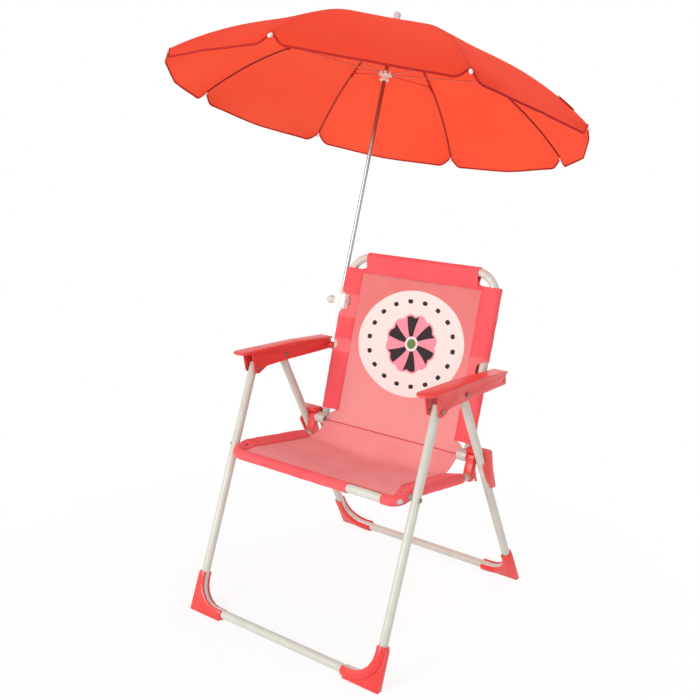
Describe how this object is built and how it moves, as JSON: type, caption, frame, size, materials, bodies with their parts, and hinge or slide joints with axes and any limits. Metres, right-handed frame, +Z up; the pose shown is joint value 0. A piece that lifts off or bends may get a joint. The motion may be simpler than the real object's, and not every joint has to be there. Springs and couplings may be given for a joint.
{
  "type": "folding chair with parasol",
  "caption": "Child's folding armchair of bent steel tube with cloth slings, moulded armrests and feet, and a tilted clip-on parasol.",
  "frame": {"origin": "centre of the bounding box's bottom face, on the floor", "axes": "+Z up, the chair faces -Y, its right armrest is on the +X side"},
  "size_m": [0.7346, 0.8, 0.8982],
  "materials": {
    "painted_steel": "off-white powder coat",
    "coral_plastic": "satin moulded",
    "sling_cloth": "woven",
    "parasol_cloth": "thin woven, lets light through",
    "chrome": "bright plated",
    "white_plastic": "satin moulded",
    "clear_plastic": "half clear",
    "rivet_steel": "zinc plated"
  },
  "bodies": {
    "front_legs": {"arm_front_rivet_left": "rivet_steel", "arm_front_rivet_right": "rivet_steel", "front_foot_left": "coral_plastic", "front_foot_right": "coral_plastic", "front_frame": "painted_steel", "seat_front_rivet_left": "rivet_steel", "seat_front_rivet_right": "rivet_steel"},
    "armrest_right_side": {"arm_middle_rivet_right": "rivet_steel", "armrest_right": "coral_plastic"},
    "armrest_left_side": {"arm_middle_rivet_left": "rivet_steel", "armrest_left": "coral_plastic"},
    "rear_legs": {"rear_foot_left": "coral_plastic", "rear_foot_right": "coral_plastic", "rear_frame": "painted_steel"},
    "backrest": {"arm_rear_rivet_left": "rivet_steel", "arm_rear_rivet_right": "rivet_steel", "back_frame": "painted_steel", "back_sling": "sling_cloth", "clamp_body": "white_plastic", "clamp_jaw": "white_plastic", "hinge_bracket_left": "coral_plastic", "hinge_bracket_right": "coral_plastic", "seat_rear_rivet_left": "rivet_steel", "seat_rear_rivet_right": "rivet_steel"},
    "seat": {"seat_end_left": "coral_plastic", "seat_end_right": "coral_plastic", "seat_frame": "painted_steel", "seat_sling": "sling_cloth"},
    "clamp_screw": {"clamp_knob": "clear_plastic"},
    "parasol_pole": {"canopy": "parasol_cloth", "crown": "white_plastic", "finial": "white_plastic", "pole": "chrome"},
    "parasol_runner": {"runner": "white_plastic"},
    "rib_1_arm": {"rib_1": "chrome", "tie_strap": "parasol_cloth"},
    "rib_2_arm": {"rib_2": "chrome"},
    "rib_3_arm": {"rib_3": "chrome"},
    "rib_4_arm": {"rib_4": "chrome"},
    "rib_5_arm": {"rib_5": "chrome"},
    "rib_6_arm": {"rib_6": "chrome"},
    "rib_7_arm": {"rib_7": "chrome"},
    "rib_8_arm": {"rib_8": "chrome"},
    "stretcher_1_arm": {"stretcher_1": "chrome"},
    "stretcher_2_arm": {"stretcher_2": "chrome"},
    "stretcher_3_arm": {"stretcher_3": "chrome"},
    "stretcher_4_arm": {"stretcher_4": "chrome"},
    "stretcher_5_arm": {"stretcher_5": "chrome"},
    "stretcher_6_arm": {"stretcher_6": "chrome"},
    "stretcher_7_arm": {"stretcher_7": "chrome"},
    "stretcher_8_arm": {"stretcher_8": "chrome"}
  },
  "joints": [
    {"name": "fold", "type": "hinge", "parent": "front_legs", "child": "armrest_left_side", "pos_m": [0.15408, -0.25205, 0.3574], "axis": [1, 0, 0], "range_deg": [0, 45]},
    {"name": "armrest_right_turn", "type": "hinge", "parent": "front_legs", "child": "armrest_right_side", "pos_m": [0.15408, -0.25205, 0.3574], "axis": [1, 0, 0], "range_deg": [0, 45]},
    {"name": "back_turn", "type": "hinge", "parent": "armrest_left_side", "child": "backrest", "pos_m": [0.15408, -0.07889, 0.3585], "axis": [1, 0, 0], "range_deg": [-45, 0]},
    {"name": "rear_legs_turn", "type": "hinge", "parent": "armrest_left_side", "child": "rear_legs", "pos_m": [0.15408, -0.18644, 0.3652], "axis": [1, 0, 0], "range_deg": [-90, 0]},
    {"name": "seat_turn", "type": "hinge", "parent": "front_legs", "child": "seat", "pos_m": [0.15408, -0.29737, 0.2435], "axis": [1, 0, 0], "range_deg": [0, 45]},
    {"name": "clamp_screw_turn", "type": "hinge", "parent": "backrest", "child": "clamp_screw", "pos_m": [0.01508, -0.06825, 0.43459], "axis": [1, 0, 0], "continuous": true},
    {"name": "pole_turn", "type": "hinge", "parent": "backrest", "child": "parasol_pole", "pos_m": [-0.00242, -0.04747, 0.42832], "axis": [0.0077, 0.3123, 0.9499], "continuous": true},
    {"name": "runner_slide", "type": "slide", "parent": "parasol_pole", "child": "parasol_runner", "axis": [0.0077, 0.3123, 0.9499], "range_m": [-0.2852, 0], "deforming": ["canopy"]},
    {"name": "rib_1_turn", "type": "hinge", "parent": "parasol_pole", "child": "rib_1_arm", "pos_m": [0.00995, 0.09692, 0.86238], "axis": [-0.1771, 0.9354, -0.3061], "range_deg": [0, 69.1]},
    {"name": "stretcher_1_turn", "type": "hinge", "parent": "rib_1_arm", "child": "stretcher_1_arm", "pos_m": [0.1832, 0.11543, 0.81873], "axis": [-0.1771, 0.9354, -0.3061], "range_deg": [-138.2, 0]},
    {"name": "rib_2_turn", "type": "hinge", "parent": "parasol_pole", "child": "rib_2_arm", "pos_m": [0.00623, 0.10243, 0.8606], "axis": [-0.8211, 0.5441, -0.1723], "range_deg": [0, 69.1]},
    {"name": "stretcher_2_turn", "type": "hinge", "parent": "rib_2_arm", "child": "stretcher_2_arm", "pos_m": [0.10658, 0.22899, 0.78201], "axis": [-0.8211, 0.5441, -0.1723], "range_deg": [-138.2, 0]},
    {"name": "rib_3_turn", "type": "hinge", "parent": "parasol_pole", "child": "rib_3_arm", "pos_m": [-0.0005, 0.10384, 0.86019], "axis": [-0.9842, -0.1659, 0.0625], "range_deg": [0, 69.1]},
    {"name": "stretcher_3_turn", "type": "hinge", "parent": "rib_3_arm", "child": "stretcher_3_arm", "pos_m": [-0.03198, 0.25802, 0.77359], "axis": [-0.9842, -0.1659, 0.0625], "range_deg": [-138.2, 0]},
    {"name": "rib_4_turn", "type": "hinge", "parent": "parasol_pole", "child": "rib_4_arm", "pos_m": [-0.00629, 0.10032, 0.86139], "axis": [-0.5707, -0.7787, 0.2606], "range_deg": [0, 69.1]},
    {"name": "stretcher_4_turn", "type": "hinge", "parent": "rib_4_arm", "child": "stretcher_4_arm", "pos_m": [-0.15132, 0.18552, 0.79839], "axis": [-0.5707, -0.7787, 0.2606], "range_deg": [-138.2, 0]},
    {"name": "rib_5_turn", "type": "hinge", "parent": "parasol_pole", "child": "rib_5_arm", "pos_m": [-0.00776, 0.09393, 0.8635], "axis": [0.1771, -0.9354, 0.3061], "range_deg": [0, 69.1]},
    {"name": "stretcher_5_turn", "type": "hinge", "parent": "rib_5_arm", "child": "stretcher_5_arm", "pos_m": [-0.18154, 0.05396, 0.84189], "axis": [0.1771, -0.9354, 0.3061], "range_deg": [-138.2, 0]},
    {"name": "rib_6_turn", "type": "hinge", "parent": "parasol_pole", "child": "rib_6_arm", "pos_m": [-0.00404, 0.08841, 0.86529], "axis": [0.8211, -0.5441, 0.1723], "range_deg": [0, 69.1]},
    {"name": "stretcher_6_turn", "type": "hinge", "parent": "rib_6_arm", "child": "stretcher_6_arm", "pos_m": [-0.10492, -0.0596, 0.87861], "axis": [0.8211, -0.5441, 0.1723], "range_deg": [-138.2, 0]},
    {"name": "rib_7_turn", "type": "hinge", "parent": "parasol_pole", "child": "rib_7_arm", "pos_m": [0.00269, 0.087, 0.8657], "axis": [0.9842, 0.1659, -0.0625], "range_deg": [0, 69.1]},
    {"name": "stretcher_7_turn", "type": "hinge", "parent": "rib_7_arm", "child": "stretcher_7_arm", "pos_m": [0.03365, -0.08864, 0.88703], "axis": [0.9842, 0.1659, -0.0625], "range_deg": [-138.2, 0]},
    {"name": "rib_8_turn", "type": "hinge", "parent": "parasol_pole", "child": "rib_8_arm", "pos_m": [0.00849, 0.09053, 0.86449], "axis": [0.5707, 0.7787, -0.2606], "range_deg": [0, 69.1]},
    {"name": "stretcher_8_turn", "type": "hinge", "parent": "rib_8_arm", "child": "stretcher_8_arm", "pos_m": [0.15299, -0.01614, 0.86223], "axis": [0.5707, 0.7787, -0.2606], "range_deg": [-138.2, 0]}
  ],
  "couplings": [
    {"joint": "armrest_right_turn", "follows": "fold", "ratio": 1},
    {"joint": "back_turn", "follows": "fold", "ratio": -1},
    {"joint": "rear_legs_turn", "follows": "fold", "ratio": -2},
    {"joint": "seat_turn", "follows": "fold", "ratio": 1},
    {"joint": "rib_1_turn", "follows": "runner_slide", "rad_per_m": -4.2287},
    {"joint": "stretcher_1_turn", "follows": "runner_slide", "rad_per_m": 8.4574},
    {"joint": "rib_2_turn", "follows": "runner_slide", "rad_per_m": -4.2287},
    {"joint": "stretcher_2_turn", "follows": "runner_slide", "rad_per_m": 8.4574},
    {"joint": "rib_3_turn", "follows": "runner_slide", "rad_per_m": -4.2287},
    {"joint": "stretcher_3_turn", "follows": "runner_slide", "rad_per_m": 8.4574},
    {"joint": "rib_4_turn", "follows": "runner_slide", "rad_per_m": -4.2287},
    {"joint": "stretcher_4_turn", "follows": "runner_slide", "rad_per_m": 8.4574},
    {"joint": "rib_5_turn", "follows": "runner_slide", "rad_per_m": -4.2287},
    {"joint": "stretcher_5_turn", "follows": "runner_slide", "rad_per_m": 8.4574},
    {"joint": "rib_6_turn", "follows": "runner_slide", "rad_per_m": -4.2287},
    {"joint": "stretcher_6_turn", "follows": "runner_slide", "rad_per_m": 8.4574},
    {"joint": "rib_7_turn", "follows": "runner_slide", "rad_per_m": -4.2287},
    {"joint": "stretcher_7_turn", "follows": "runner_slide", "rad_per_m": 8.4574},
    {"joint": "rib_8_turn", "follows": "runner_slide", "rad_per_m": -4.2287},
    {"joint": "stretcher_8_turn", "follows": "runner_slide", "rad_per_m": 8.4574}
  ]
}
